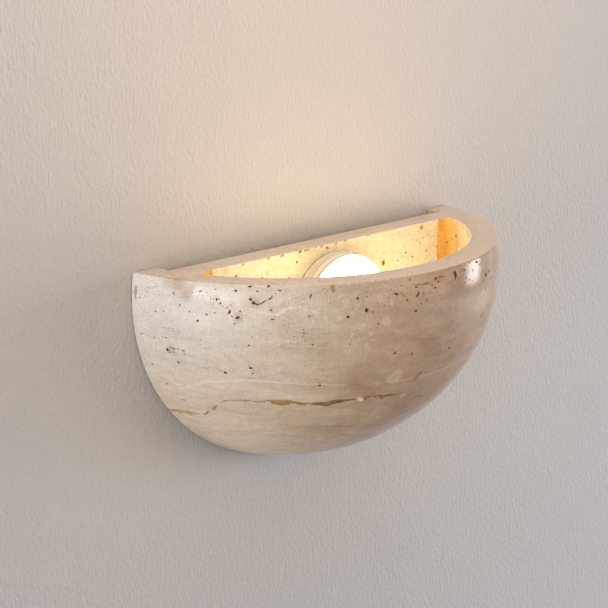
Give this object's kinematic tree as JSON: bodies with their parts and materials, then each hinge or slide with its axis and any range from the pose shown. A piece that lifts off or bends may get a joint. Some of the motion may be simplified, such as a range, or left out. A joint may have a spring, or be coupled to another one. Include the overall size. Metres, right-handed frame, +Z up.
{
  "type": "half moon wall light",
  "caption": "Half moon travertine wall light, open at the top, with a flat round twist-lock lamp facing out from a hidden wall plate.",
  "frame": {"origin": "on the wall, midway between the wall plate's two screw slots, 60 mm below the stone's rim", "axes": "+X to the right seen from the room, +Z up, +Y into the wall; the light stands out towards -Y"},
  "size_m": [0.3, 0.132, 0.154],
  "materials": {
    "travertine": "satin",
    "galvanised_steel": "satin",
    "zinc_steel": "satin",
    "black_rubber": "matte",
    "brass": "satin",
    "black_nylon": "matte",
    "white_nylon": "satin",
    "tinned_copper": "satin",
    "brown_insulation": "satin",
    "blue_insulation": "satin",
    "green_yellow_insulation": "satin",
    "white_holder_plastic": "satin",
    "spring_bronze": "satin",
    "white_lamp_plastic": "satin",
    "opal_diffuser": "satin",
    "nickel_plate": "satin",
    "board_aluminium": "satin",
    "phosphor_chip": "satin",
    "red_insulation": "satin",
    "circuit_board": "satin",
    "driver_black": "satin"
  },
  "bodies": {
    "fixture": {"stone_bowl": "travertine", "wall_plate": "galvanised_steel", "wall_studs": "zinc_steel", "stud_washers": "black_rubber", "cable_bushing": "black_nylon", "terminal_block": "white_nylon", "terminal_barrels": "brass", "terminal_screws": "zinc_steel", "terminal_fixing_screw": "zinc_steel", "earth_screw": "brass", "earth_washer": "brass", "earth_lug": "tinned_copper", "live_lead": "brown_insulation", "neutral_lead": "blue_insulation", "earth_lead": "green_yellow_insulation", "holder_strap": "galvanised_steel", "holder_screws": "zinc_steel", "holder_body": "white_holder_plastic", "holder_cover": "white_holder_plastic", "holder_cover_screws": "zinc_steel", "holder_contacts": "spring_bronze"},
    "lamp": {"lamp_housing": "white_lamp_plastic", "lamp_front_ring": "white_lamp_plastic", "lamp_diffuser": "opal_diffuser", "lamp_pins": "nickel_plate", "led_board": "board_aluminium", "led_chips": "phosphor_chip", "led_leads": "red_insulation", "pin_leads": "red_insulation", "driver_board": "circuit_board", "driver_parts": "driver_black"},
    "left_nut": {"left_knurled_nut": "brass"},
    "right_nut": {"right_knurled_nut": "brass"}
  },
  "joints": [
    {"name": "lamp_twist", "type": "hinge", "parent": "fixture", "child": "lamp", "pos_m": [0, -0.0295, 0.0165], "axis": [0, -1, 0], "range_deg": [0, 15]},
    {"name": "left_nut_turn", "type": "hinge", "parent": "fixture", "child": "left_nut", "pos_m": [-0.072, -0.034, -0.006], "axis": [0, -1, 0], "range_deg": [0, 360]},
    {"name": "right_nut_turn", "type": "hinge", "parent": "fixture", "child": "right_nut", "pos_m": [0.072, -0.034, -0.006], "axis": [0, -1, 0], "range_deg": [0, 360]}
  ]
}
